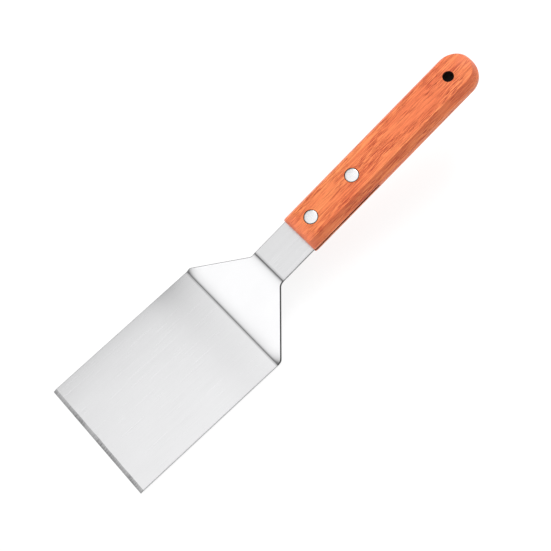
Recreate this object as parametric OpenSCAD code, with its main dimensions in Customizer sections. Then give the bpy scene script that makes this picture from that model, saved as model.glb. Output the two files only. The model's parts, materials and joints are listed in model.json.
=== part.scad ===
// Grill spatula: one bent steel sheet let into a slotted wooden handle and held by two rivets.
// The blade lies flat on Z = 0, its front edge faces -Y and the handle rises towards +Y.

/* [Blade] */
// Width of the blade
blade_w = 76.2; // [60:0.1:110]
// Length of the flat blade, from its front edge to the rear fold
blade_l = 98.7; // [80:0.1:150]
// Thickness of the steel sheet
sheet_t = 1.5; // [1:0.1:2]
// Length of the bevel ground along the front edge
grind_l = 2.2; // [1:0.1:4]
// Thickness that the bevel leaves at the front edge
edge_t = 0.5; // [0.3:0.1:0.8]

/* [Shoulder and neck] */
// Rise of the shoulder above the blade, in degrees
rise_angle = 31.3; // [20:0.1:40]
// Pitch of the neck and handle above the blade, in degrees
handle_angle = 9.5; // [4:0.1:15]
// Inner radius of both folds
fold_r = 1.5; // [1:0.1:2]
// Length of the shoulder, from fold to fold
shoulder_l = 36.7; // [30:0.1:50]
// Full-width stretch of the shoulder after the rear fold
rear_lead = 2.4; // [1.5:0.1:4]
// Parallel stretch of the shoulder before the neck fold
neck_lead = 2.8; // [1.5:0.1:4]
// Radius of the shoulder's rear corners
corner_r = 3; // [1:0.1:4]
// Radius where the shoulder runs into the neck
fillet_r = 4; // [2:0.1:6]
// Width of the neck and tang
neck_w = 23.1; // [22:0.1:24]
// Length of the neck, from its fold to the handle
neck_l = 23.7; // [15:0.1:35]
// Length of the tang inside the handle
tang_l = 47.6; // [46:0.1:48.5]

/* [Handle] */
// Length of the handle
handle_l = 130; // [120:0.1:150]
// Width across the side walls
handle_w = 24.3; // [24.3:0.1:26]
// Height of the handle
handle_h = 16.4; // [15:0.1:18]
// Width of the flat top and bottom faces
face_w = 18.4; // [17:0.1:20]
// Height of the upright side walls
wall_h = 4.6; // [3:0.1:6]
// Distance from the top face's rounded end to the tip of the butt
butt_inset = 1.3; // [1:0.1:2]
// Radius of the butt's corners, seen from above
butt_r = 9.2; // [7:0.1:10]
// Radius of the front corners, seen from above
front_r = 1; // [0.5:0.1:2]
// Depth of the saw slot at the middle of the handle
slot_l = 50.1; // [49.5:0.1:52]
// Radius of the saw that cut the slot
saw_r = 60; // [55:1:80]
// Room between the tang and each side of the slot
slot_play = 0.05; // [0.02:0.01:0.1]
// Diameter of the hanging hole
hang_hole_d = 6; // [5:0.1:8]
// Distance from the handle's front to the hanging hole
hang_hole_y = 114.7; // [110:0.1:116]

/* [Rivets] */
// Distance from the handle's front to the front rivet
front_rivet_y = 11; // [9:0.1:14]
// Distance from the handle's front to the rear rivet
rear_rivet_y = 41.9; // [36:0.1:43]
// Diameter of the rivet heads
head_d = 7.5; // [7:0.1:8]
// Depth of the rivet heads below the wood's face
head_t = 1.3; // [1:0.1:2]
// Height of the heads' crown above the wood's face
crown_h = 0.2; // [0.1:0.05:0.4]
// Outer diameter of the tubular half
tube_d = 5; // [4.6:0.1:5.4]
// Diameter of the solid half's shank
shank_d = 3.2; // [2.6:0.1:3.4]
// Radial room round each rivet's tube
rivet_play = 0.08; // [0.04:0.02:0.12]
// Radial room round each rivet head in its seat
seat_play = 0.2; // [0.05:0.05:0.3]
// Radial room between the two rivet halves
press_play = 0.02; // [0.01:0.01:0.05]

/* [Hidden] */

steel = [0.82, 0.82, 0.83];
wood = [0.86, 0.47, 0.30];
bright_metal = [0.93, 0.93, 0.94];

arc_steps = 8;           // straight pieces in one rounded corner of an outline
round_fn = 96;           // smoothness of the round solids
overshoot = 1;           // how far a cutter runs past the surface that it cuts

rear_fold_at = [blade_l, sheet_t];
neck_fold_at = rear_fold_at + shoulder_l * [cos(rise_angle), sin(rise_angle)];

half_h = handle_h / 2;
chamfer_slope = (handle_w - face_w) / (handle_h - wall_h);
butt_axis_y = handle_l - butt_inset - face_w / 2;
butt_wall_half = half_h - butt_inset / chamfer_slope;

overall_l = neck_fold_at.x
    + (neck_l + handle_l) * cos(handle_angle)
    + (sheet_t / 2 + butt_wall_half) * sin(handle_angle);

function unit(v) = v / norm(v);

// Points of the arc that rounds one corner of an outline
function rounded_corner(before, corner, after, radius) =
    let (
        u = unit(before - corner),
        v = unit(after - corner),
        half_angle = acos(u * v) / 2,
        centre = corner + unit(u + v) * radius / sin(half_angle),
        start = corner + u * radius / tan(half_angle) - centre,
        turn = sign(v.x * u.y - v.y * u.x) * (180 - 2 * half_angle)
    )
    [
        for (step = [0 : arc_steps])
            let (a = turn * step / arc_steps)
            centre + [start.x * cos(a) - start.y * sin(a), start.x * sin(a) + start.y * cos(a)]
    ];

// Mirrors one side of an outline, listed upwards, to the other side
function both_sides(right) = concat(
    right,
    [for (i = [len(right) - 1 : -1 : 0]) [-right[i].x, right[i].y]]
);

// The frames. In each, Y runs towards the butt.

// Y = 0 at the blade's front edge, Z = 0 at its underside
module from_front_edge() {
    translate([0, -overall_l / 2, 0])
        children();
}

// Y = 0 at the rear fold, along the shoulder's upper face
module past_rear_fold() {
    from_front_edge()
        translate([0, rear_fold_at.x, rear_fold_at.y])
            rotate([rise_angle, 0, 0])
                children();
}

// Y = 0 at the neck fold, along the neck's upper face
module past_neck_fold() {
    from_front_edge()
        translate([0, neck_fold_at.x, neck_fold_at.y])
            rotate([handle_angle, 0, 0])
                children();
}

// Y = 0 at the handle's front, Z = 0 at the middle of the tang
module on_handle_axis() {
    past_neck_fold()
        translate([0, neck_l, -sheet_t / 2])
            children();
}

// The sheet

// Steps from the upper face to the lower one, square to a flat or along a fold's bisector
function below(angle, fold = 0) = [sin(angle), -cos(angle)] * sheet_t / cos(fold / 2);

// Side view of the whole bent sheet, Y to the right and Z up
function sheet_profile() =
    let (
        front = [0, edge_t],
        grind_end = [grind_l, sheet_t],
        tang_end = neck_fold_at + (neck_l + tang_l) * [cos(handle_angle), sin(handle_angle)],
        under_front = [0, 0],
        under_rear = rear_fold_at + below(rise_angle / 2, rise_angle),
        under_neck = neck_fold_at
            + below((rise_angle + handle_angle) / 2, rise_angle - handle_angle),
        under_end = tang_end + below(handle_angle)
    )
    concat(
        [front, grind_end],
        rounded_corner(grind_end, rear_fold_at, neck_fold_at, fold_r),
        rounded_corner(rear_fold_at, neck_fold_at, tang_end, fold_r + sheet_t),
        [tang_end, under_end],
        rounded_corner(under_end, under_neck, under_rear, fold_r),
        rounded_corner(under_neck, under_rear, under_front, fold_r + sheet_t),
        [under_front]
    );

module bent_strip() {
    translate([-blade_w / 2, 0, 0])
        rotate([90, 0, 90])
            linear_extrude(blade_w)
                polygon(sheet_profile());
}

// What is trimmed off the right of the shoulder, neck and tang, seen square to the shoulder
module offcut() {
    rear_corner = [blade_w / 2, rear_lead];
    neck_corner = [neck_w / 2, shoulder_l - neck_lead];
    far_end = [neck_w / 2, shoulder_l + neck_l + tang_l];
    outside_x = blade_w / 2 + overshoot;
    drop = (neck_l + tang_l) * sin(rise_angle - handle_angle) + 2 * sheet_t;
    edge = concat(
        rounded_corner([blade_w / 2, 0], rear_corner, neck_corner, corner_r),
        rounded_corner(rear_corner, neck_corner, far_end, fillet_r)
    );
    translate([0, 0, -drop])
        linear_extrude(drop + overshoot)
            polygon(concat(edge, [far_end, [outside_x, far_end.y], [outside_x, edge[0].y]]));
}

module blade() {
    color(steel)
        difference() {
            from_front_edge()
                bent_strip();
            for (side = [0, 1])
                mirror([side, 0, 0])
                    past_rear_fold()
                        offcut();
            on_handle_axis()
                for (y = [front_rivet_y, rear_rivet_y])
                    translate([0, y, 0])
                        rivet_bore();
        }
}

// The handle

function half_section() = [
    [0, -half_h],
    [face_w / 2, -half_h],
    [handle_w / 2, -wall_h / 2],
    [handle_w / 2, wall_h / 2],
    [face_w / 2, half_h],
    [0, half_h]
];

module handle_bar() {
    rotate([90, 0, 0])
        mirror([0, 0, 1])
            linear_extrude(butt_axis_y)
                polygon(both_sides(half_section()));
    translate([0, butt_axis_y, 0])
        rotate_extrude($fn = round_fn)
            polygon(half_section());
}

module handle_plan() {
    front_corner_x = handle_w / 2 - front_r;
    butt_corner_x = handle_w / 2 - butt_r;
    translate([-front_corner_x, 0])
        square([2 * front_corner_x, butt_axis_y]);
    translate([-handle_w / 2, front_r])
        square([handle_w, handle_l - butt_r - front_r]);
    translate([-butt_corner_x, 0])
        square([2 * butt_corner_x, handle_l]);
    for (side = [-1, 1]) {
        translate([side * front_corner_x, front_r])
            circle(r = front_r, $fn = round_fn);
        translate([side * butt_corner_x, handle_l - butt_r])
            circle(r = butt_r, $fn = round_fn);
    }
}

module saw_slot() {
    kerf = sheet_t + 2 * slot_play;
    translate([0, slot_l - saw_r, -kerf / 2])
        cylinder(h = kerf, r = saw_r, $fn = round_fn);
}

module rivet_bore() {
    cylinder(h = handle_h, d = tube_d + 2 * rivet_play, center = true, $fn = round_fn);
}

module rivet_seat() {
    cutter_h = head_t + overshoot;
    rivet_bore();
    for (z = [half_h - head_t, -half_h - overshoot])
        translate([0, 0, z])
            cylinder(h = cutter_h, d = head_d + 2 * seat_play, $fn = round_fn);
}

module handle() {
    color(wood)
        on_handle_axis()
            difference() {
                intersection() {
                    handle_bar();
                    translate([0, 0, -half_h])
                        linear_extrude(handle_h)
                            handle_plan();
                }
                saw_slot();
                for (y = [front_rivet_y, rear_rivet_y])
                    translate([0, y, 0])
                        rivet_seat();
                translate([0, hang_hole_y, 0])
                    cylinder(
                        h = handle_h + 2 * overshoot,
                        d = hang_hole_d,
                        center = true,
                        $fn = round_fn
                    );
            }
}

// The rivets. Each is drawn with its own head facing up, flush in the wood.

// A head whose crown is an arc across its full width
module rivet_head() {
    head_r = head_d / 2;
    crown_r = (head_r * head_r + crown_h * crown_h) / (2 * crown_h);
    crown_angle = asin(head_r / crown_r);
    rotate_extrude($fn = round_fn)
        polygon(concat(
            [[0, half_h - head_t], [head_r, half_h - head_t]],
            [
                for (step = [arc_steps : -1 : 0])
                    let (a = crown_angle * step / arc_steps)
                    [crown_r * sin(a), half_h + crown_h - crown_r * (1 - cos(a))]
            ]
        ));
}

module solid_half() {
    shank_l = handle_h - 3 * head_t;
    rivet_head();
    translate([0, 0, half_h - head_t - shank_l])
        cylinder(h = shank_l, d = shank_d, $fn = round_fn);
}

module tube_half() {
    tube_l = handle_h - 2 * head_t - press_play;
    rivet_head();
    translate([0, 0, half_h - head_t - tube_l])
        difference() {
            cylinder(h = tube_l, d = tube_d, $fn = round_fn);
            translate([0, 0, -overshoot])
                cylinder(h = tube_l + overshoot, d = shank_d + 2 * press_play, $fn = round_fn);
        }
}

module solid_half_at(y) {
    color(bright_metal)
        on_handle_axis()
            translate([0, y, 0])
                solid_half();
}

module tube_half_at(y) {
    color(bright_metal)
        on_handle_axis()
            translate([0, y, 0])
                rotate([180, 0, 0])
                    tube_half();
}

module front_rivet_solid_half() { solid_half_at(front_rivet_y); }
module front_rivet_tube_half() { tube_half_at(front_rivet_y); }
module rear_rivet_solid_half() { solid_half_at(rear_rivet_y); }
module rear_rivet_tube_half() { tube_half_at(rear_rivet_y); }

blade();
handle();
front_rivet_solid_half();
front_rivet_tube_half();
rear_rivet_solid_half();
rear_rivet_tube_half();
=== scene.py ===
"""Looks of the grill spatula: detailed meshes, materials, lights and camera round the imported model.

Everything is in metres in the model's own frame: X across the blade, Y from the blade's front
edge towards the handle's butt, Z up from the surface that the blade lies on.
"""

import json
from math import acos, cos, exp, pi, radians, sin, sqrt, tan

import bmesh
import bpy
from mathutils import Matrix, Vector, noise


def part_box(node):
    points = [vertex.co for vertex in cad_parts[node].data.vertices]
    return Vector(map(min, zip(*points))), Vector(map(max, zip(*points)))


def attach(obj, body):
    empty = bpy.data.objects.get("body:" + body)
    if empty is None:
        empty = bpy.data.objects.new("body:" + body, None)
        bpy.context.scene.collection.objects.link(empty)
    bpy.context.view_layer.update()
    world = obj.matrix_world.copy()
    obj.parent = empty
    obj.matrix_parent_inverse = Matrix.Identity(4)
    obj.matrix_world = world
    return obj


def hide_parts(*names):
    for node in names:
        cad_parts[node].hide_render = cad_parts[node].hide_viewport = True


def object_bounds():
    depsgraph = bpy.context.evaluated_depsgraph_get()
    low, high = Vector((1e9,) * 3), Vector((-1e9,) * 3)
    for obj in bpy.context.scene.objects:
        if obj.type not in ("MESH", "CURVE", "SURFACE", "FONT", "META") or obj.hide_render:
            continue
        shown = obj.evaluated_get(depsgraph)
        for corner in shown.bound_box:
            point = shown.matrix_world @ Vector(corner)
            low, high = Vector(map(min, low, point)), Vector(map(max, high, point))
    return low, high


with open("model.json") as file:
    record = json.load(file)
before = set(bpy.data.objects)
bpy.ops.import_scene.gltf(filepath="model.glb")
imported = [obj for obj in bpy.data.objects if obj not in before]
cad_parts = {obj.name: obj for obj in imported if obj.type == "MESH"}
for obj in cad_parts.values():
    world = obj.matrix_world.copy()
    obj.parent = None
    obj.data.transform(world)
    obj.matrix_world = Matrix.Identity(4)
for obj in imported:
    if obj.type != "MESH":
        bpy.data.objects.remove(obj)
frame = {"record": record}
cad_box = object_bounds()

MM = 0.001

# ---------------------------------------------------------------------------
# The design's sizes. Places come from the frame.
# ---------------------------------------------------------------------------

SHEET_T = 1.5 * MM
GRIND_L = 2.2 * MM
EDGE_T = 0.5 * MM
RISE = radians(31.3)
FOLD_R = 1.5 * MM
SHOULDER_L = 36.7 * MM
REAR_LEAD = 2.4 * MM
NECK_LEAD = 2.8 * MM
CORNER_R = 3 * MM
FILLET_R = 4 * MM
NECK_W = 23.1 * MM
NECK_L = 23.7 * MM
TANG_L = 47.6 * MM

HANDLE_L = 130 * MM
HANDLE_H = 16.4 * MM
FACE_W = 18.4 * MM
WALL_H = 4.6 * MM
BUTT_INSET = 1.3 * MM
BUTT_R = 9.2 * MM
SLOT_L = 50.1 * MM
SAW_R = 60 * MM
SLOT_PLAY = 0.05 * MM
HANG_HOLE_Y = 114.7 * MM

RIVET_YS = {"front": 11 * MM, "rear": 41.9 * MM}
HEAD_R = 3.75 * MM
HEAD_T = 1.3 * MM
CROWN_H = 0.2 * MM
TUBE_R = 2.5 * MM
SHANK_R = 1.6 * MM
RIVET_PLAY = 0.08 * MM
SEAT_PLAY = 0.2 * MM
PRESS_PLAY = 0.02 * MM

# How far hand finishing has softened the edges, and how far the painted sheen reaches in from the
# handle's ends
SHEET_EDGE_R = 0.4 * MM
WOOD_EDGE_R = 0.35 * MM
FRONT_EASE = 2 * MM
END_REACH = 4 * MM
HOLE_EDGE = 0.1 * MM
SEAT_EDGE = 0.12 * MM
RIVET_EDGE_R = 0.3 * MM

blade_low, blade_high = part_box("blade")
_, handle_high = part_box("handle")
BLADE_HALF = blade_high.x
HANDLE_HALF = handle_high.x
FRONT_Y = blade_low.y

hanging_hole = next(m for m in frame["record"]["mounts"] if m["name"] == "hanging_hole")
HOLE_R = hanging_hole["dims"]["r_mm"] * MM
handle_up = Vector(hanging_hole["axis"])
handle_along = handle_up.cross(Vector((1, 0, 0)))
handle_front = Vector(hanging_hole["pos_m"]) - HANG_HOLE_Y * handle_along
PITCH = acos(handle_along.y)

# Where the upper faces of the blade, shoulder and neck meet, as (y, z)
neck_fold = (handle_front + SHEET_T / 2 * handle_up - NECK_L * handle_along).yz
rear_fold = neck_fold - SHOULDER_L * Vector((cos(RISE), sin(RISE)))


# ---------------------------------------------------------------------------
# Small helpers
# ---------------------------------------------------------------------------

def rounded_corner(before, corner, after, radius, steps=6):
    """Points of the arc that rounds one corner of an outline in a plane."""
    u = (before - corner).normalized()
    v = (after - corner).normalized()
    half = acos(u.dot(v)) / 2
    centre = corner + (u + v).normalized() * radius / sin(half)
    start = corner + u * radius / tan(half) - centre
    turn = (pi - 2 * half) * (1 if v.x * u.y > v.y * u.x else -1)
    points = []
    for step in range(steps + 1):
        a = turn * step / steps
        x = start.x * cos(a) - start.y * sin(a)
        y = start.x * sin(a) + start.y * cos(a)
        points.append(centre + Vector((x, y)))
    return points


def make_piece(name, bm, materials, replaced):
    """Turns a finished bmesh into a piece that stands for a CAD node."""
    bmesh.ops.recalc_face_normals(bm, faces=bm.faces)
    mesh = bpy.data.meshes.new(name)
    bm.to_mesh(mesh)
    bm.free()
    piece = bpy.data.objects.new(name, mesh)
    bpy.context.scene.collection.objects.link(piece)
    for material in materials:
        mesh.materials.append(material)
    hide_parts(replaced)
    return piece


def lathe(bm, profile, steps=64, matrix=Matrix.Identity(4)):
    """Adds a closed solid of revolution about Z.

    The profile's (r, z) points start and end on the axis.
    """
    poles = [bm.verts.new(matrix @ Vector((0, 0, profile[i][1]))) for i in (0, -1)]
    rings = []
    for step in range(steps):
        a = 2 * pi * step / steps
        places = [Vector((r * cos(a), r * sin(a), z)) for r, z in profile[1:-1]]
        rings.append([bm.verts.new(matrix @ place) for place in places])
    for here, there in zip(rings, rings[1:] + rings[:1]):
        bm.faces.new((poles[0], there[0], here[0]))
        bm.faces.new((poles[1], here[-1], there[-1]))
        for i in range(len(here) - 1):
            bm.faces.new((here[i], there[i], there[i + 1], here[i + 1]))


def cut(piece, cutters, material):
    """Cuts closed meshes out of a piece. Each is a bmesh in the piece's own frame.

    The cut faces get the material.
    """
    bodies = []
    for number, bm in enumerate(cutters):
        bmesh.ops.recalc_face_normals(bm, faces=bm.faces)
        mesh = bpy.data.meshes.new("cutter")
        bm.to_mesh(mesh)
        bm.free()
        mesh.materials.append(material)
        cutter = bpy.data.objects.new("cutter", mesh)
        bpy.context.scene.collection.objects.link(cutter)
        boolean = piece.modifiers.new(f"cut_{number}", "BOOLEAN")
        boolean.operation = "DIFFERENCE"
        boolean.solver = "EXACT"
        boolean.material_mode = "TRANSFER"
        boolean.object = cutter
        bodies.append(cutter)
    bpy.context.view_layer.update()
    graph = bpy.context.evaluated_depsgraph_get()
    result = bpy.data.meshes.new_from_object(piece.evaluated_get(graph))
    piece.modifiers.clear()
    piece.data = result
    for cutter in bodies:
        bpy.data.objects.remove(cutter)


def soften_shading(piece, sharp_angle):
    """Smooth shading that keeps flat faces flat and leaves edges above an angle sharp."""
    piece.data.shade_smooth()
    piece.data.set_sharp_from_angle(angle=sharp_angle)
    weighted = piece.modifiers.new("weighted_normals", "WEIGHTED_NORMAL")
    weighted.keep_sharp = True


# ---------------------------------------------------------------------------
# Materials
# ---------------------------------------------------------------------------

# How far each mark hides the colour under it
FOLD_SHADE_COVER = 0.88
RIM_SHADE_COVER = 0.97
LONG_PORE_COVER = 0.8
PORE_COVER = 0.90
RIDGE_SHADE_COVER = 0.6
END_SHEEN_COVER = 0.7

# How much of the brushing polishing leaves, and how much deeper grinding scores the steel
POLISHED_BRUSHING = 0.05
GRIND_DEPTH = 6.0

# Height of each material's fine relief
BRUSH_RELIEF = 0.004 * MM
SHEARED_RELIEF = 0.02 * MM
RIVET_RELIEF = 0.01 * MM
WOOD_RELIEF = 0.05 * MM
BORE_RELIEF = 0.04 * MM


class Shader:
    """A node material with a Principled shader, and short ways to add and join nodes.

    Its patterns run along Y, turned up about X by the pitch.
    """

    def __init__(self, name, pitch=0.0, **constants):
        self.pitch = pitch
        self.material = bpy.data.materials.new(name)
        self.material.use_nodes = True
        self.tree = self.material.node_tree
        self.principled = self.tree.nodes["Principled BSDF"]
        for socket, value in constants.items():
            self.principled.inputs[socket.replace("_", " ")].default_value = value

    def add(self, kind, settings=None, **inputs):
        """Adds a node. An input is a number or colour, or the output that feeds it."""
        made = self.tree.nodes.new("ShaderNode" + kind)
        for setting, value in (settings or {}).items():
            setattr(made, setting, value)
        for socket, value in inputs.items():
            self.feed(made, socket.replace("_", " "), value)
        return made

    def feed(self, made, socket, value):
        key = int(socket[1:]) if socket[0] == "i" and socket[1:].isdigit() else socket
        if isinstance(value, bpy.types.NodeSocket):
            self.tree.links.new(value, made.inputs[key])
        else:
            made.inputs[key].default_value = value

    def coordinates(self, stretch, turn=0.0, shift=(0, 0, 0)):
        """Object coordinates in units of the stretch, in millimetres along each axis."""
        objects = self.add("TexCoord").outputs["Object"]
        levelled = self.add("Mapping", Vector=objects, Rotation=(-self.pitch, 0, 0)).outputs["Vector"]
        return self.add(
            "Mapping",
            Vector=levelled,
            Scale=[1 / (MM * s) for s in stretch],
            Rotation=(0, 0, turn),
            Location=shift,
        ).outputs["Vector"]

    def noise(self, stretch, detail, turn=0.0, shift=(0, 0, 0)):
        """Soft noise from 0 to 1 whose grains have the stretch's size."""
        vector = self.coordinates(stretch, turn, shift)
        return self.add("TexNoise", Vector=vector, Scale=1.0, Detail=detail).outputs["Fac"]

    def ramp(self, value, low, high, to_low=0.0, to_high=1.0):
        """Maps low..high to to_low..to_high, clamped."""
        made = self.add("MapRange", Value=value)
        made.inputs["From Min"].default_value = low
        made.inputs["From Max"].default_value = high
        made.inputs["To Min"].default_value = to_low
        made.inputs["To Max"].default_value = to_high
        return made.outputs["Result"]

    def spread(self, value, to_low=0.0, to_high=1.0):
        """Maps the usual range of a soft noise to to_low..to_high."""
        return self.ramp(value, 0.3, 0.7, to_low, to_high)

    def math(self, operation, a, b):
        return self.add("Math", {"operation": operation}, i0=a, i1=b).outputs[0]

    def mix(self, factor, a, b):
        """Mixes two colours. Each is a colour or an output."""
        made = self.add("Mix", {"data_type": "RGBA"})
        self.tree.links.new(factor, made.inputs["Factor"])
        for index, value in ((6, a), (7, b)):
            self.feed(made, f"i{index}", value)
        return made.outputs[2]

    def attribute(self, name):
        return self.add("Attribute", {"attribute_name": name}).outputs["Fac"]

    def bump(self, height, distance):
        made = self.add("Bump", Height=height, Strength=1.0, Distance=distance)
        self.tree.links.new(made.outputs["Normal"], self.principled.inputs["Normal"])

    def link(self, output, socket):
        self.tree.links.new(output, self.principled.inputs[socket])


def grey(value):
    return (value, value, value * 1.01, 1.0)


def brushed_steel():
    """Satin stainless steel brushed lengthwise and ground at the front, with painted shade along and
    near the folds, on the rounded edges and on the ground bevel.
    """
    s = Shader("brushed_steel", Metallic=1.0, Anisotropic=0.6)
    dull = grey(0.60)
    clean = grey(0.63)
    brushed = grey(0.65)
    # Painted shade, darkest beside the folds and at the shoulder's rear corners, lighter along the
    # blade's left side and over the neck
    shade_grey = grey(0.03)
    # Painted shade along each fold, with some die marking
    fold_shade_grey = grey(0.14)
    # Painted shade on the rounded upper edges: full on the shoulder, weaker on the neck
    rim_shade_grey = grey(0.05)
    # The ground bevel's greys are darkened with painted shade, darkest at the front edge
    bevel_shade_grey = grey(0.08)
    scratched = grey(0.24)
    bare = grey(0.30)

    tangent = s.add("Tangent", {"direction_type": "UV_MAP", "uv_map": "sheet"})
    s.link(tangent.outputs["Tangent"], "Tangent")

    lines = s.noise((0.12, 22, 22), detail=3)
    wide_lines = s.noise((0.7, 60, 60), detail=2, shift=(7, 0, 0))
    clouds = s.noise((22, 30, 30), detail=2, shift=(0, 5, 0))
    fold = s.attribute("fold")
    painted_shade = s.attribute("painted_shade")
    rim_shade = s.attribute("rim_shade")
    polished = s.attribute("polished")
    grind_and_shade = s.attribute("grind_and_shade")
    grind_marks = s.noise((0.45, 3, 3), detail=4, shift=(3, 1, 0))
    grind_zones = s.noise((14, 60, 60), detail=1, shift=(2, 6, 0))

    plain = s.mix(s.spread(clouds), dull, clean)
    brush_depth = s.ramp(polished, 0.0, 1.0, 1.0, POLISHED_BRUSHING)
    lined = s.mix(s.math("MULTIPLY", s.ramp(lines, 0.35, 0.65), brush_depth), plain, brushed)
    shaded = s.mix(painted_shade, lined, shade_grey)
    folded = s.mix(s.math("MULTIPLY", fold, FOLD_SHADE_COVER), shaded, fold_shade_grey)
    rim_shaded = s.mix(s.math("MULTIPLY", rim_shade, RIM_SHADE_COVER), folded, rim_shade_grey)
    bevel = s.mix(s.ramp(grind_marks, 0.35, 0.65), bevel_shade_grey, scratched)
    ground = s.mix(s.ramp(grind_zones, 0.4, 0.6, 0.0, 0.5), bevel, bare)
    s.link(s.mix(grind_and_shade, rim_shaded, ground), "Base Color")

    both_lines = s.ramp(s.math("ADD", lines, wide_lines), 0.6, 1.4, -0.04, 0.04)
    uneven = s.math("MULTIPLY", both_lines, brush_depth)
    roughness = s.math("ADD", s.ramp(grind_and_shade, 0.0, 1.0, 0.30, 0.35), uneven)
    s.link(roughness, "Roughness")
    brushing = s.math("MULTIPLY", lines, brush_depth)
    grinding = s.math("MULTIPLY", s.math("MULTIPLY", grind_and_shade, grind_marks), GRIND_DEPTH)
    s.bump(s.math("ADD", brushing, grinding), BRUSH_RELIEF)
    return s.material


def sheared_edge():
    """The sheet's cut sides: grey, darkened with painted shade to near black on the shoulder, the
    neck, the tang and the front face.
    """
    s = Shader("sheared_edge", Metallic=1.0)
    grain = s.noise((0.25, 0.25, 0.9), detail=4)
    lighter_edge_grey = s.mix(s.spread(grain), grey(0.34), grey(0.46))
    # Near black painted shade on the cut sides
    shaded_edge_grey = s.mix(s.spread(grain), grey(0.04), grey(0.09))
    s.link(s.mix(s.attribute("edge_shade"), lighter_edge_grey, shaded_edge_grey), "Base Color")
    s.link(s.spread(grain, 0.38, 0.55), "Roughness")
    s.bump(grain, SHEARED_RELIEF)
    return s.material


def rivet_metal():
    """Bright tumbled metal with fine random scuffs."""
    s = Shader("rivet_metal", Metallic=1.0)
    scuffs = s.noise((0.35, 0.35, 0.35), detail=5)
    s.link(s.mix(s.ramp(scuffs, 0.35, 0.65), grey(0.58), grey(0.70)), "Base Color")
    s.link(s.spread(scuffs, 0.22, 0.34), "Roughness")
    s.bump(scuffs, RIVET_RELIEF)
    return s.material


def reddish_wood():
    """Oiled reddish hardwood: broad bands, streaks, fibres and short dark pores along the handle,
    with painted shade under the ridges and a painted sheen near the front and butt.
    """
    s = Shader("reddish_wood", pitch=PITCH, Specular_IOR_Level=0.3)
    lean = radians(-1)

    bands = s.noise((5.5, 70, 6), detail=3, turn=lean)
    streaks = s.noise((0.8, 34, 1.2), detail=3, turn=lean, shift=(11, 0, 3))
    fibres = s.noise((0.22, 15, 0.35), detail=2, turn=lean, shift=(2, 9, 0))
    fine_pores = s.noise((0.17, 5.5, 0.3), detail=0, turn=lean, shift=(5, 3, 8))
    long_pores = s.noise((0.26, 18, 0.5), detail=1, turn=lean, shift=(8, 1, 5))
    pore_zones = s.noise((5, 20, 7), detail=2, turn=lean, shift=(1, 4, 2))

    light = (0.96, 0.305, 0.104, 1)
    middle = (0.86, 0.220, 0.076, 1)
    dark = (0.62, 0.092, 0.029, 1)
    pore = (0.38, 0.032, 0.011, 1)
    # Painted shade on the chamfers just under the ridges
    ridge_shade_colour = (0.62, 0.100, 0.029, 1)
    # A painted sheen, paler and pinker, near the front and the butt
    sheen_colour = (0.84, 0.220, 0.125, 1)
    colour = s.mix(s.ramp(bands, 0.38, 0.60), light, middle)
    colour = s.mix(s.ramp(streaks, 0.48, 0.70, 0.0, 0.40), colour, dark)
    colour = s.mix(s.ramp(fibres, 0.48, 0.62, 0.0, 0.45), colour, dark)
    crowded = s.ramp(pore_zones, 0.42, 0.56, 0.25, 1.0)
    dashes = s.math("MULTIPLY", s.ramp(fine_pores, 0.56, 0.62), crowded)
    lines = s.math("MULTIPLY", s.ramp(long_pores, 0.61, 0.66), LONG_PORE_COVER)
    pores = s.math("MAXIMUM", dashes, lines)
    colour = s.mix(s.math("MULTIPLY", pores, PORE_COVER), colour, pore)
    colour = s.mix(s.math("MULTIPLY", s.attribute("ridge_shade"), RIDGE_SHADE_COVER), colour, ridge_shade_colour)
    colour = s.mix(s.math("MULTIPLY", s.attribute("end_sheen"), END_SHEEN_COVER), colour, sheen_colour)
    s.link(colour, "Base Color")

    s.link(s.spread(fibres, 0.42, 0.54), "Roughness")
    relief = s.math("SUBTRACT", s.math("MULTIPLY", fibres, 0.35), pores)
    s.bump(relief, WOOD_RELIEF)
    return s.material


def bore_shade_wood():
    """The wood inside holes and the slot, painted near black for the shade that falls in them."""
    s = Shader("bore_shade_wood", pitch=PITCH, Specular_IOR_Level=0.1)
    bore_shade_dark = (0.012, 0.004, 0.003, 1)
    bore_shade_light = (0.035, 0.010, 0.007, 1)
    rings = s.noise((0.8, 0.8, 0.25), detail=3)
    s.link(s.mix(s.spread(rings), bore_shade_dark, bore_shade_light), "Base Color")
    s.link(s.spread(rings, 0.7, 0.9), "Roughness")
    s.bump(rings, BORE_RELIEF)
    return s.material


def pale_floor():
    """A lit white table, which keeps the shadows faint."""
    s = Shader("pale_floor", Roughness=0.6, Emission_Strength=0.80)
    s.principled.inputs["Emission Color"].default_value = (1, 1, 1, 1)
    mottle = s.noise((160, 160, 160), detail=2)
    s.link(s.mix(s.spread(mottle), grey(0.20), grey(0.22)), "Base Color")
    return s.material


# ---------------------------------------------------------------------------
# The sheet: blade, shoulder, neck and tang
# ---------------------------------------------------------------------------

# Steps of the mesh across the sheet, round one of its edges and along each stretch
COLUMNS = 60
EDGE_STEPS = 5
BLADE_STEPS = 30
REAR_FOLD_STEPS = 8
SHOULDER_STEPS = 14
NECK_FOLD_STEPS = 6
NECK_STEPS = 12
HALF_RING = COLUMNS + 1 + 2 * EDGE_STEPS

# How many stations the ground bevel has
BEVEL_STATIONS = 3

# The rounding's largest share of the thickness, where the bevel thins the sheet
EDGE_SHARE = 0.4

# Edges of the sheet below this angle are shaded smooth
SHEET_SHARP = radians(20)

# The attributes that place painted shade and the marks of making in the sheet's materials
SHEET_MARKS = ("fold", "grind_and_shade", "edge_shade", "painted_shade", "rim_shade", "polished")

# Reach of the painted shade, with some die marking, on each side of a fold, and the narrow fade
# behind the ground bevel
FOLD_MARK = 1.0 * MM
GRIND_FADE = 0.15 * MM

# How much of the ground bevel's painted shade is gone at its inner line
GRIND_LIGHTER = 0.25

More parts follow.
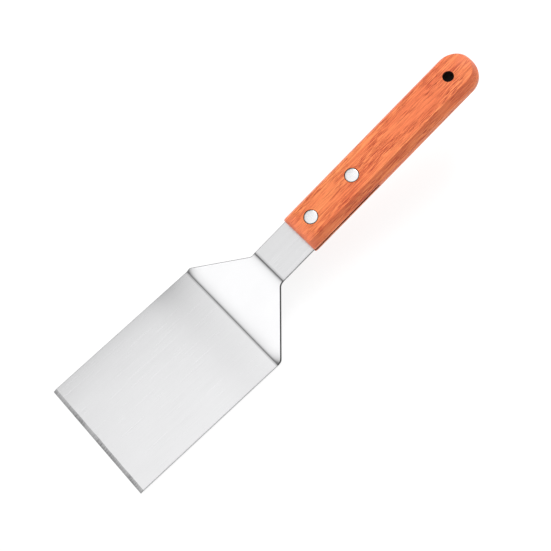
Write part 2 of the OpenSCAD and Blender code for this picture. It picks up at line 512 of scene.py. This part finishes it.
# How far the bevel's inner line wanders in long and in short waves, and how long the waves are
LONG_WANDER, LONG_WAVE = 0.18 * MM, 9 * MM
SHORT_WANDER, SHORT_WAVE = 0.12 * MM, 1.6 * MM

# How much painted shade darkens the cut edge: on the blade's sides, the shoulder, the neck and tang
BLADE_EDGE_SHADE, SHOULDER_EDGE_SHADE, NECK_EDGE_SHADE = 0.25, 1.0, 1.0

# How much painted shade darkens the neck's rounded upper edge, against the shoulder's
NECK_RIM_SHADE = 0.25

# The painted shade beside the folds: its strength at the folds and how far it fades over
REAR_SHADE, REAR_FADE = 0.37, 2.7 * MM
NECK_SHADE, NECK_FADE = 0.60, 1.5 * MM
MOST_SHADE = 0.9

# How much stronger the rear fold's painted shade is at the corners, and the power by which it gathers
# there
CORNER_SHADE, CORNER_POWER = 3.0, 12

# Painted shade darkens the blade along its left side and in a band in front of the rear fold
LEFT_SHADE, LEFT_FADE = 0.15, 10 * MM
BAND_SHADE, BAND_PLACE, BAND_REACH = 0.06, 15 * MM, 12 * MM

# Painted shade darkens the neck and tang a little all over
TANG_SHADE = 0.08


def heading(angle):
    """The unit direction at an angle above Y, as (y, z)."""
    return Vector((cos(angle), sin(angle)))


def arc_stations(corner, from_angle, to_angle, radius, steps):
    """Upper-face stations (point, angle) round a fold whose upper face has this radius."""
    setback = radius * tan(abs(to_angle - from_angle) / 2)
    side = 1 if to_angle > from_angle else -1
    start = corner - setback * heading(from_angle)
    centre = start + side * radius * heading(from_angle + pi / 2)
    stations = []
    for step in range(steps + 1):
        angle = from_angle + (to_angle - from_angle) * step / steps
        stations.append((centre - side * radius * heading(angle + pi / 2), angle))
    return stations


def shoulder_outline():
    """The right edge of the shoulder, as (x, distance from the rear fold)."""
    rear_corner = Vector((BLADE_HALF, REAR_LEAD))
    neck_corner = Vector((NECK_W / 2, SHOULDER_L - NECK_LEAD))
    start = Vector((BLADE_HALF, 0))
    end = Vector((NECK_W / 2, SHOULDER_L))
    rear_arc = rounded_corner(start, rear_corner, neck_corner, CORNER_R)
    neck_arc = rounded_corner(rear_corner, neck_corner, end, FILLET_R)
    middle = [rear_arc[-1].lerp(neck_arc[0], k / SHOULDER_STEPS) for k in range(1, SHOULDER_STEPS)]
    return rear_arc + middle + neck_arc


def sheet_stations():
    """Stations from the front edge to the tang's end.

    Each is (upper point, angle, half width, depth ground off).
    """
    front = Vector((FRONT_Y, SHEET_T))
    tang_end = neck_fold + (NECK_L + TANG_L) * heading(PITCH)
    rear_arc = arc_stations(rear_fold, 0, RISE, FOLD_R, REAR_FOLD_STEPS)
    neck_arc = arc_stations(neck_fold, RISE, PITCH, FOLD_R + SHEET_T, NECK_FOLD_STEPS)
    stations = []
    for k in range(BEVEL_STATIONS):
        share = k / (BEVEL_STATIONS - 1)
        ground = (SHEET_T - EDGE_T) * (1 - share)
        stations.append((front + Vector((GRIND_L * share, 0)), 0, BLADE_HALF, ground))
    flat_start = front + Vector((GRIND_L + GRIND_FADE, 0))
    flat_end = rear_arc[0][0] - Vector((FOLD_MARK, 0))
    for k in range(BLADE_STEPS + 1):
        stations.append((flat_start.lerp(flat_end, k / BLADE_STEPS), 0, BLADE_HALF, 0))
    stations += [(point, angle, BLADE_HALF, 0) for point, angle in rear_arc]
    for x, distance in shoulder_outline():
        stations.append((rear_fold + distance * heading(RISE), RISE, x, 0))
    stations += [(point, angle, NECK_W / 2, 0) for point, angle in neck_arc]
    neck_start = neck_arc[-1][0] + FOLD_MARK * heading(PITCH)
    for k in range(NECK_STEPS + 1):
        stations.append((neck_start.lerp(tang_end, k / NECK_STEPS), PITCH, NECK_W / 2, 0))
    return stations


def sheet_ring(half_width, thickness):
    """Points (x, depth) round the sheet's section, clockwise from the upper left."""
    r = min(SHEET_EDGE_R, EDGE_SHARE * thickness)
    inner = half_width - r
    half = [(-inner + 2 * inner * k / COLUMNS, 0) for k in range(COLUMNS + 1)]
    for k in range(1, EDGE_STEPS + 1):
        a = pi / 2 * k / EDGE_STEPS
        half.append((inner + r * sin(a), r - r * cos(a)))
    for k in range(EDGE_STEPS):
        a = pi / 2 * k / EDGE_STEPS
        half.append((inner + r * cos(a), thickness - r + r * sin(a)))
    return half + [(-x, thickness - depth) for x, depth in half]


def grind_wander(x):
    """How far the ground bevel's inner line wanders along Y at x, from hand grinding.

    The two waves are read along different lines of the noise.
    """
    long = noise.noise(Vector((x / LONG_WAVE, 1.7, 0)))
    short = noise.noise(Vector((x / SHORT_WAVE, 5.2, 0)))
    return LONG_WANDER * long + SHORT_WANDER * short


def before_mid_shoulder(point):
    return point.x < rear_fold.x + SHOULDER_L / 2


def on_shoulder(point, angle):
    """1 on the shoulder, 0 on the blade and neck, blended round the folds."""
    return angle / RISE if before_mid_shoulder(point) else (angle - PITCH) / (RISE - PITCH)


def edge_shade(point, angle):
    """How much painted shade darkens the cut edge at a station."""
    beyond = BLADE_EDGE_SHADE if before_mid_shoulder(point) else NECK_EDGE_SHADE
    return beyond + (SHOULDER_EDGE_SHADE - beyond) * on_shoulder(point, angle)


def rim_shade(point, angle):
    """How much painted shade darkens the sheet's rounded upper edge at a station."""
    beyond = 0.0 if before_mid_shoulder(point) else NECK_RIM_SHADE
    return beyond + (1 - beyond) * on_shoulder(point, angle)


def painted_shade_amount(x, point, angle):
    """How much painted shade darkens the sheet at x on a station, from 0 to 1."""
    shoulder = on_shoulder(point, angle)
    from_rear = (point - rear_fold).length
    if shoulder == 0 and before_mid_shoulder(point):
        band = exp(-((from_rear - BAND_PLACE) / BAND_REACH) ** 2)
        left = exp(-(x + BLADE_HALF) / LEFT_FADE)
        return LEFT_SHADE * left * (1 + band) + BAND_SHADE * band
    corners = 1 + CORNER_SHADE * (abs(x) / BLADE_HALF) ** CORNER_POWER
    rear = REAR_SHADE * corners * exp(-from_rear / REAR_FADE)
    neck = NECK_SHADE * exp(-(point - neck_fold).length / NECK_FADE)
    plain = 0.0 if before_mid_shoulder(point) else TANG_SHADE * (1 - shoulder)
    return min(MOST_SHADE, shoulder * (rear + neck) + plain)


def sheet_marks(x, depth, point, angle, walked):
    """The value of each mark at (x, depth) in a station's ring, walked from the front edge."""
    near_fold = min((point - rear_fold).length, (point - neck_fold).length)
    on_bevel = walked < GRIND_L + GRIND_FADE / 2 and depth < EDGE_T / 2
    on_rim = 0 < depth < SHEET_T / 2
    return {
        "fold": max(0.0, 1 - near_fold / FOLD_MARK),
        "grind_and_shade": 1 - GRIND_LIGHTER * walked / GRIND_L if on_bevel else 0.0,
        "edge_shade": 1.0 if walked == 0 else edge_shade(point, angle),
        "painted_shade": painted_shade_amount(x, point, angle),
        "rim_shade": rim_shade(point, angle) if on_rim else 0.0,
        "polished": on_shoulder(point, angle),
    }


def cap_sheet(bm, ring, flip):
    """Closes the sheet at its first or last ring."""
    bottom_left = HALF_RING + COLUMNS
    faces = []
    for k in range(COLUMNS):
        faces.append([ring[k], ring[k + 1], ring[bottom_left - k - 1], ring[bottom_left - k]])
    faces.append(ring[COLUMNS : HALF_RING + 1])
    faces.append(ring[bottom_left:] + ring[:1])
    for corners in faces:
        bm.faces.new(corners[::-1] if flip else corners).material_index = 1


def make_sheet(materials, bore_shade_material):
    bm = bmesh.new()
    uv = bm.loops.layers.uv.new("sheet")
    layers = [bm.verts.layers.float.new(mark) for mark in SHEET_MARKS]
    stations = sheet_stations()
    rings = []
    lengths = []
    walked = 0.0
    last = stations[0][0]
    for point, angle, half_width, ground in stations:
        walked += (point - last).length
        last = point
        lengths.append(walked)
        normal = heading(angle + pi / 2)
        ring = []
        for x, depth in sheet_ring(half_width, SHEET_T - ground):
            place = point - (ground + depth) * normal
            vert = bm.verts.new((x, place.x, place.y))
            marks = sheet_marks(x, depth, point, angle, walked)
            for layer, mark in zip(layers, SHEET_MARKS):
                vert[layer] = marks[mark]
            ring.append(vert)
        rings.append(ring)
    # The bevel's inner line and the station just behind it wander together
    for ring in rings[BEVEL_STATIONS - 1 : BEVEL_STATIONS + 1]:
        for vert in ring[: COLUMNS + 1]:
            vert.co.y += grind_wander(vert.co.x)
    right_cut = range(COLUMNS + EDGE_STEPS, HALF_RING)
    left_cut = range(HALF_RING + COLUMNS, HALF_RING + COLUMNS + EDGE_STEPS + 1)
    for i, (here, there) in enumerate(zip(rings, rings[1:])):
        for k in range(len(here)):
            face = bm.faces.new((here[k - 1], here[k], there[k], there[k - 1]))
            segment = (k - 1) % len(here)
            face.material_index = 1 if segment in right_cut or segment in left_cut else 0
            for loop, along in zip(face.loops, (i, i, i + 1, i + 1)):
                loop[uv].uv = (loop.vert.co.x, lengths[along])
    cap_sheet(bm, rings[0], False)
    cap_sheet(bm, rings[-1], True)
    piece = make_piece("steel_sheet", bm, materials, "blade")
    cut(piece, [tang_bore(y) for y in RIVET_YS.values()], bore_shade_material)
    soften_shading(piece, SHEET_SHARP)
    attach(piece, "root")


def handle_matrix():
    """Takes points in the handle's own frame to the model's frame."""
    matrix = Matrix.Rotation(PITCH, 4, "X")
    matrix.translation = handle_front
    return matrix


def tang_bore(y):
    bm = bmesh.new()
    r = TUBE_R + RIVET_PLAY
    reach = HANDLE_H / 2
    place = handle_matrix() @ Matrix.Translation((0, y, 0))
    lathe(bm, [(0, -reach), (r, -reach), (r, reach), (0, reach)], matrix=place)
    return bm


# ---------------------------------------------------------------------------
# The handle, in its own frame: Y = 0 at its front, Z = 0 at the middle of the tang
# ---------------------------------------------------------------------------

CHAMFER_SLOPE = (2 * HANDLE_HALF - FACE_W) / (HANDLE_H - WALL_H)
BUTT_AXIS_Y = HANDLE_L - BUTT_INSET - FACE_W / 2

# Steps of the mesh round an edge, round the eased front, along a side, round the butt and the saw
WOOD_EDGE_STEPS = 4
FRONT_STEPS = 8
SIDE_STEPS = 24
BUTT_STEPS = 36
SAW_STEPS = 256

# Points of a half section where the upper and lower chamfers start, next to the flat faces; painted
# shade runs along them
RIDGE_POINTS = (WOOD_EDGE_STEPS + 1, 3 * WOOD_EDGE_STEPS + 4)

# How much the eased front narrows the flat faces and the sides, against how far it lowers the top
FACE_EASE = 0.5
SIDE_EASE = 0.25

# Points closer than this are one point
MERGE = 0.001 * MM

# Edges of the wood below this angle are shaded smooth
WOOD_SHARP = radians(28)


def rounded_line(points, radius, steps):
    """An open outline with each inner corner rounded. The (x, y) points become Vectors."""
    points = [Vector(p) for p in points]
    line = [points[0]]
    for before, corner, after in zip(points, points[1:], points[2:]):
        line += rounded_corner(before, corner, after, radius, steps)
    return line + [points[-1]]


def half_section(reach, ease=0.0):
    """The section's right half, from the middle of the top to the middle of the bottom.

    Its points are (x, z). The reach is its half width, and the ease is how far the front's
    rounding lowers its top.
    """
    top = HANDLE_H / 2 - ease
    face = FACE_W / 2 - FACE_EASE * ease
    wall = HANDLE_H / 2 - (reach - FACE_W / 2) / CHAMFER_SLOPE
    side = reach - SIDE_EASE * ease
    points = [(0, top), (face, top), (side, wall), (side, -wall), (face, -top), (0, -top)]
    return rounded_line(points, WOOD_EDGE_R, WOOD_EDGE_STEPS)


def butt_reach(angle):
    """Distance from the butt's axis to the plan outline, at an angle from -X turned towards +Y."""
    flat_half = HANDLE_HALF - BUTT_R
    corner_y = HANDLE_L - BUTT_R - BUTT_AXIS_Y
    direction = Vector((abs(cos(angle)), sin(angle)))
    tip = HANDLE_L - BUTT_AXIS_Y
    if direction.y > 0 and direction.x * tip / direction.y <= flat_half:
        return tip / direction.y
    if direction.x > 0 and direction.y * HANDLE_HALF / direction.x <= corner_y:
        return HANDLE_HALF / direction.x
    centre = Vector((flat_half, corner_y))
    along = direction.dot(centre)
    return min(HANDLE_HALF, along + sqrt(along * along - centre.length_squared + BUTT_R * BUTT_R))


def handle_ribs():
    """Ribs round the handle, from front left to front right.

    Each is (place on the axis, outward direction, half section).
    """
    side = []
    for k in range(FRONT_STEPS + 1):
        a = pi / 2 * k / FRONT_STEPS
        side.append((FRONT_EASE * (1 - cos(a)), FRONT_EASE * (1 - sin(a))))
    for k in range(1, SIDE_STEPS):
        side.append((FRONT_EASE + (BUTT_AXIS_Y - FRONT_EASE) * k / SIDE_STEPS, 0.0))
    left = [(y, Vector((-1, 0)), half_section(HANDLE_HALF, ease)) for y, ease in side]
    butt = []
    for k in range(BUTT_STEPS + 1):
        angle = pi * k / BUTT_STEPS
        butt.append((BUTT_AXIS_Y, Vector((-cos(angle), sin(angle))), half_section(butt_reach(angle))))
    right = [(y, Vector((1, 0)), section) for y, _, section in reversed(left)]
    return left + butt + right


def end_sheen(place):
    """How much painted sheen the wood gets at a place near the front or the butt, from 0 to 1."""
    front = 1 - place.y / END_REACH
    butt = 1 - (HANDLE_L - place.y) / END_REACH
    return min(1.0, max(0.0, front, butt))


def make_handle(material, bore_shade_material):
    bm = bmesh.new()
    end_sheen_layer = bm.verts.layers.float.new("end_sheen")
    ridge_shade_layer = bm.verts.layers.float.new("ridge_shade")
    ribs = []
    for y, outward, section in handle_ribs():
        places = [Vector((outward.x * r, y + outward.y * r, z)) for r, z in section]
        rib = [bm.verts.new(place) for place in places]
        for k, (vert, place) in enumerate(zip(rib, places)):
            vert[end_sheen_layer] = end_sheen(place)
            vert[ridge_shade_layer] = 1.0 if k in RIDGE_POINTS else 0.0
        ribs.append(rib)
    for here, there in zip(ribs, ribs[1:]):
        for k in range(len(here) - 1):
            bm.faces.new((here[k], there[k], there[k + 1], here[k + 1]))
    bm.faces.new(ribs[0] + ribs[-1][::-1])
    bmesh.ops.remove_doubles(bm, verts=bm.verts, dist=MERGE)
    piece = make_piece("wooden_handle", bm, [material], "handle")
    seats = [seat_cutter(y) for y in RIVET_YS.values()]
    cut(piece, [slot_cutter(), hole_cutter()] + seats, bore_shade_material)
    soften_shading(piece, WOOD_SHARP)
    piece.data.transform(handle_matrix())
    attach(piece, "root")


def slot_cutter():
    """The saw's disc, where it stands at the end of the cut."""
    bm = bmesh.new()
    half = SHEET_T / 2 + SLOT_PLAY
    place = Matrix.Translation((0, SLOT_L - SAW_R, 0))
    lathe(bm, [(0, -half), (SAW_R, -half), (SAW_R, half), (0, half)], steps=SAW_STEPS, matrix=place)
    return bm


def hole_cutter():
    """The hanging hole, a little wider at its mouths."""
    bm = bmesh.new()
    top = HANDLE_H / 2
    mouth = HOLE_R + 2 * HOLE_EDGE
    profile = [(0, -top - HOLE_EDGE), (mouth, -top - HOLE_EDGE), (HOLE_R, -top + HOLE_EDGE)]
    profile += [(r, -z) for r, z in reversed(profile)]
    lathe(bm, profile, matrix=Matrix.Translation((0, HANG_HOLE_Y, 0)))
    return bm


def seat_cutter(y):
    """A rivet's bore and the seats of its two heads, with slightly broken edges."""
    bm = bmesh.new()
    top = HANDLE_H / 2
    seat = HEAD_R + SEAT_PLAY
    bore = TUBE_R + RIVET_PLAY
    mouth = seat + 2 * SEAT_EDGE
    profile = [(0, -top - SEAT_EDGE), (mouth, -top - SEAT_EDGE), (seat, -top + SEAT_EDGE)]
    profile += [(seat, -top + HEAD_T), (bore, -top + HEAD_T)]
    profile += [(r, -z) for r, z in reversed(profile)]
    lathe(bm, profile, matrix=Matrix.Translation((0, y, 0)))
    return bm


# ---------------------------------------------------------------------------
# The rivets
# ---------------------------------------------------------------------------

# Steps of the mesh round a rivet, round its head's edge and across its crown
RIVET_STEPS = 72
HEAD_EDGE_STEPS = 4
CROWN_STEPS = 8

# Edges of a rivet below this angle are shaded smooth
RIVET_SHARP = radians(45)

CROWN_R = (HEAD_R * HEAD_R + CROWN_H * CROWN_H) / (2 * CROWN_H)


def crown_height(r):
    """Height of the head's crown above the wood's face, at a distance from its axis."""
    return CROWN_H - (CROWN_R - sqrt(CROWN_R * CROWN_R - r * r))


def crown_profile():
    """The head's upper outline from its edge to its middle, as (r, z), z = 0 at the wood's face."""
    inner = HEAD_R - RIVET_EDGE_R
    centre_z = crown_height(inner) - RIVET_EDGE_R
    outline = []
    for k in range(HEAD_EDGE_STEPS):
        a = pi / 2 * k / HEAD_EDGE_STEPS
        outline.append((inner + RIVET_EDGE_R * cos(a), centre_z + RIVET_EDGE_R * sin(a)))
    for k in range(CROWN_STEPS + 1):
        r = inner * (1 - k / CROWN_STEPS)
        outline.append((r, crown_height(r)))
    return outline


def solid_half_profile(top):
    """The solid half: its shank stops short of the far head by a head's depth."""
    foot = -top + 2 * HEAD_T
    under_head = top - HEAD_T
    profile = [(0, foot), (SHANK_R, foot), (SHANK_R, under_head), (HEAD_R, under_head)]
    return profile + [(r, top + z) for r, z in crown_profile()]


def tube_half_profile(top):
    """The tubular half, seen with its head up: the bore stops under the head."""
    foot = -top + HEAD_T + PRESS_PLAY
    under_head = top - HEAD_T
    bore = SHANK_R + PRESS_PLAY
    profile = [(0, under_head), (bore, under_head), (bore, foot), (TUBE_R, foot)]
    profile += [(TUBE_R, under_head), (HEAD_R, under_head)]
    return profile + [(r, top + z) for r, z in crown_profile()]


def make_rivet_half(name, y, profile, upside_down, material):
    bm = bmesh.new()
    flip = Matrix.Rotation(pi if upside_down else 0, 4, "X")
    place = handle_matrix() @ Matrix.Translation((0, y, 0)) @ flip
    lathe(bm, profile, steps=RIVET_STEPS, matrix=place)
    piece = make_piece(name.replace("_half", "_head"), bm, [material], name)
    soften_shading(piece, RIVET_SHARP)
    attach(piece, "root")


def make_rivets(material):
    top = HANDLE_H / 2
    for place, y in RIVET_YS.items():
        make_rivet_half(f"{place}_rivet_solid_half", y, solid_half_profile(top), False, material)
        make_rivet_half(f"{place}_rivet_tube_half", y, tube_half_profile(top), True, material)


# ---------------------------------------------------------------------------
# Studio
# ---------------------------------------------------------------------------

# Half the floor's side, and how far the floor lies below the blade
FLOOR_HALF = 4.0
FLOOR_GAP = 0.02 * MM

# How bright the room is overhead and at the horizon, and the sine of the height where the
# paler band ends
ROOM_LIGHT = 0.36
HORIZON_LIGHT = 1.03
HORIZON_TOP = 0.35

# The camera's place round a point on the floor, and how far it is turned about its own axis
CAMERA_AIM = Vector((-1.13 * MM, -8.73 * MM, 0))
CAMERA_DISTANCE = 579 * MM
CAMERA_AZIMUTH = radians(-23.41)
CAMERA_ELEVATION = radians(68.62)
CAMERA_ROLL = radians(-20.46)
CAMERA_LENS = 68.08


def make_floor():
    bm = bmesh.new()
    bmesh.ops.create_grid(bm, x_segments=1, y_segments=1, size=FLOOR_HALF)
    mesh = bpy.data.meshes.new("floor")
    bm.to_mesh(mesh)
    bm.free()
    floor = bpy.data.objects.new("floor", mesh)
    floor.location.z = cad_box[0][2] - FLOOR_GAP
    mesh.materials.append(pale_floor())
    bpy.context.scene.collection.objects.link(floor)


def panel(name, place, size, radiance):
    """A soft light panel that faces the object. Its power follows from how bright its face is."""
    data = bpy.data.lights.new(name, "AREA")
    data.shape = "RECTANGLE"
    data.size, data.size_y = size
    data.energy = radiance * pi * size[0] * size[1]
    light = bpy.data.objects.new(name, data)
    light.location = place
    light.rotation_euler = Vector(place).to_track_quat("Z", "Y").to_euler()
    bpy.context.scene.collection.objects.link(light)


def make_lights():
    panel("overhead", place=(0.03, 0.05, 1.0), size=(1.1, 1.3), radiance=1.12)
    panel("front", place=(-0.25, -0.95, 0.62), size=(1.6, 0.5), radiance=1.47)
    panel("key", place=(-0.45, 0.65, 0.8), size=(0.5, 0.5), radiance=8.0)


def make_room():
    """A plain room that is pale at the horizon, as a studio's walls are."""
    world = bpy.data.worlds.new("studio")
    world.use_nodes = True
    tree = world.node_tree
    direction = tree.nodes.new("ShaderNodeTexCoord")
    split = tree.nodes.new("ShaderNodeSeparateXYZ")
    fade = tree.nodes.new("ShaderNodeMapRange")
    fade.interpolation_type = "SMOOTHSTEP"
    fade.inputs["From Max"].default_value = HORIZON_TOP
    fade.inputs["To Min"].default_value = HORIZON_LIGHT
    fade.inputs["To Max"].default_value = ROOM_LIGHT
    background = tree.nodes["Background"]
    background.inputs["Color"].default_value = (1, 1, 1, 1)
    tree.links.new(direction.outputs["Generated"], split.inputs["Vector"])
    tree.links.new(split.outputs["Z"], fade.inputs["Value"])
    tree.links.new(fade.outputs["Result"], background.inputs["Strength"])
    bpy.context.scene.world = world


def make_camera():
    flat = cos(CAMERA_ELEVATION)
    back = Vector((flat * cos(CAMERA_AZIMUTH), flat * sin(CAMERA_AZIMUTH), sin(CAMERA_ELEVATION)))
    data = bpy.data.cameras.new("camera")
    data.lens = CAMERA_LENS
    camera = bpy.data.objects.new("camera", data)
    camera.location = CAMERA_AIM + CAMERA_DISTANCE * back
    upright = back.to_track_quat("Z", "Y").to_matrix()
    camera.rotation_euler = (upright @ Matrix.Rotation(CAMERA_ROLL, 3, "Z")).to_euler()
    bpy.context.scene.collection.objects.link(camera)
    bpy.context.scene.camera = camera


make_camera()
make_floor()
make_lights()
make_room()
bore_shade_material = bore_shade_wood()
make_sheet([brushed_steel(), sheared_edge()], bore_shade_material)
make_handle(reddish_wood(), bore_shade_material)
make_rivets(rivet_metal())
bpy.context.scene.view_settings.view_transform = "Standard"
